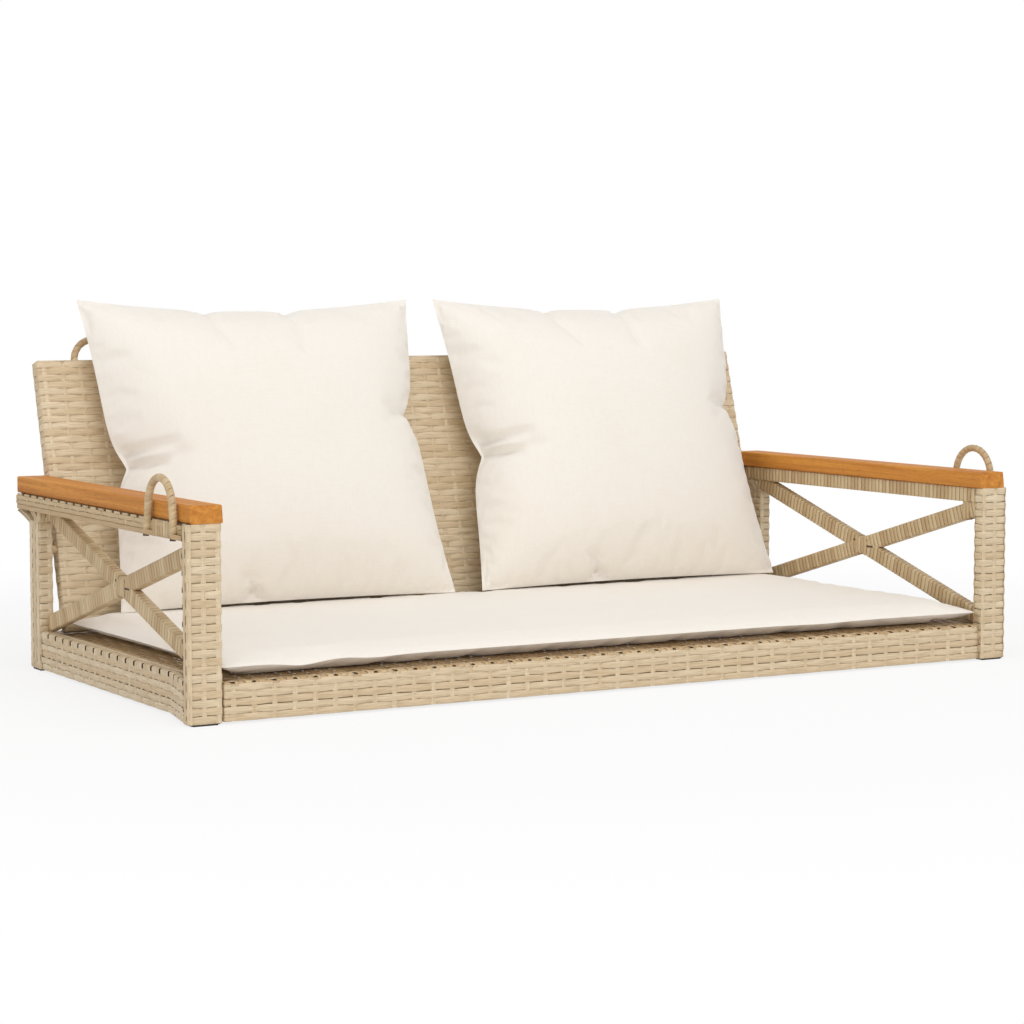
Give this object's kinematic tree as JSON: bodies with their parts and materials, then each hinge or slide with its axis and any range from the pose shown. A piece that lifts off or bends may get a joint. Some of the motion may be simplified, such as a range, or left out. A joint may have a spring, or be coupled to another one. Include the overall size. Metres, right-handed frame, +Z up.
{
  "type": "hanging bench",
  "caption": "Low two-seat bench to hang from ropes: woven arms with cross braces, wooden armrests, leaning woven back, loose seat and back cushions.",
  "frame": {"origin": "centre of the footprint, on the plane of the feet", "axes": "+X to the right across the bench, -Y towards the front, +Z up"},
  "size_m": [1.1948, 0.6216, 0.4798],
  "materials": {
    "frame_steel": "dark powder coat",
    "woven_strip": "matte woven flat strip in natural straw",
    "seat_strip": "matte woven flat strip in brown",
    "acacia": "oiled",
    "zinc_steel": "zinc plated",
    "black_plastic": "moulded",
    "straw_plastic": "moulded in the colour of the strip",
    "cushion_cloth": "woven cover, washed"
  },
  "bodies": {
    "bench": {"left_side_frame": "frame_steel", "right_side_frame": "frame_steel", "seat_frame": "frame_steel", "seat_cross_bars": "frame_steel", "back_frame": "frame_steel", "left_front_post_weave": "woven_strip", "right_front_post_weave": "woven_strip", "left_rear_post_weave": "woven_strip", "right_rear_post_weave": "woven_strip", "left_arm_rail_weave": "woven_strip", "right_arm_rail_weave": "woven_strip", "left_side_apron_weave": "woven_strip", "right_side_apron_weave": "woven_strip", "left_rising_brace_wrap": "woven_strip", "right_rising_brace_wrap": "woven_strip", "left_falling_brace_wrap": "woven_strip", "right_falling_brace_wrap": "woven_strip", "left_brace_knot": "woven_strip", "right_brace_knot": "woven_strip", "front_apron_weave": "woven_strip", "rear_apron_weave": "woven_strip", "seat_weave": "seat_strip", "back_weave": "woven_strip", "back_upright_wraps": "woven_strip", "left_armrest": "acacia", "right_armrest": "acacia", "left_front_loop_rod": "frame_steel", "right_front_loop_rod": "frame_steel", "left_rear_loop_rod": "frame_steel", "right_rear_loop_rod": "frame_steel", "left_front_loop_wrap": "woven_strip", "right_front_loop_wrap": "woven_strip", "left_rear_loop_wrap": "woven_strip", "right_rear_loop_wrap": "woven_strip", "frame_bolts": "zinc_steel", "bolt_washers": "zinc_steel", "spacer_bushes": "straw_plastic", "rivet_nuts": "zinc_steel", "armrest_screws": "zinc_steel", "foot_pads": "black_plastic"},
    "seat_pad": {"seat_cushion": "cushion_cloth"},
    "left_pillow": {"left_back_cushion": "cushion_cloth"},
    "right_pillow": {"right_back_cushion": "cushion_cloth"}
  },
  "joints": [
    {"name": "seat_cushion_lift", "type": "slide", "parent": "bench", "child": "seat_pad", "axis": [0, 0, 1], "range_m": [0, 0.45]},
    {"name": "left_back_cushion_lift", "type": "slide", "parent": "seat_pad", "child": "left_pillow", "axis": [0, 0, 1], "range_m": [0, 0.4]},
    {"name": "right_back_cushion_lift", "type": "slide", "parent": "seat_pad", "child": "right_pillow", "axis": [0, 0, 1], "range_m": [0, 0.4]}
  ]
}
